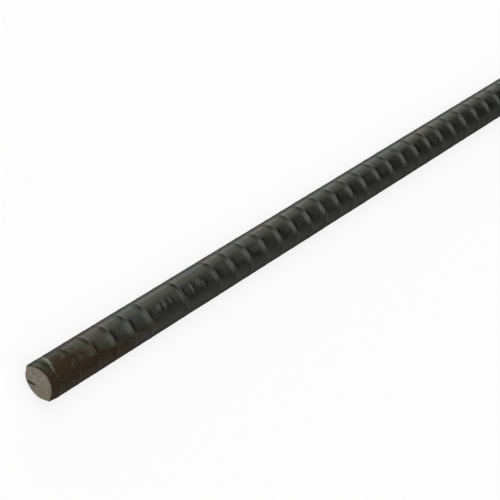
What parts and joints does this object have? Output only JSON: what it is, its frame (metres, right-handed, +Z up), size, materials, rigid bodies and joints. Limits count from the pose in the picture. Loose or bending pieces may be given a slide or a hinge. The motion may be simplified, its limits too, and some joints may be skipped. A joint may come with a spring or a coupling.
{
  "type": "steel reinforcing bar",
  "caption": "Straight hot-rolled steel bar of round section with longitudinal ribs and flat cut ends, laid in concrete to carry tension.",
  "frame": {"origin": "on the floor under the middle of the bar, which lies level", "axes": "+X along the bar from the painted end in the picture to the far end, +Z up"},
  "size_m": [0.6096, 0.0142, 0.0121],
  "materials": {
    "mill_scale_steel": "dark grey mill scale with light rust near the cut ends, bare grey steel on the cuts"
  },
  "bodies": {
    "root": {"rebar": "mill_scale_steel"}
  },
  "joints": []
}
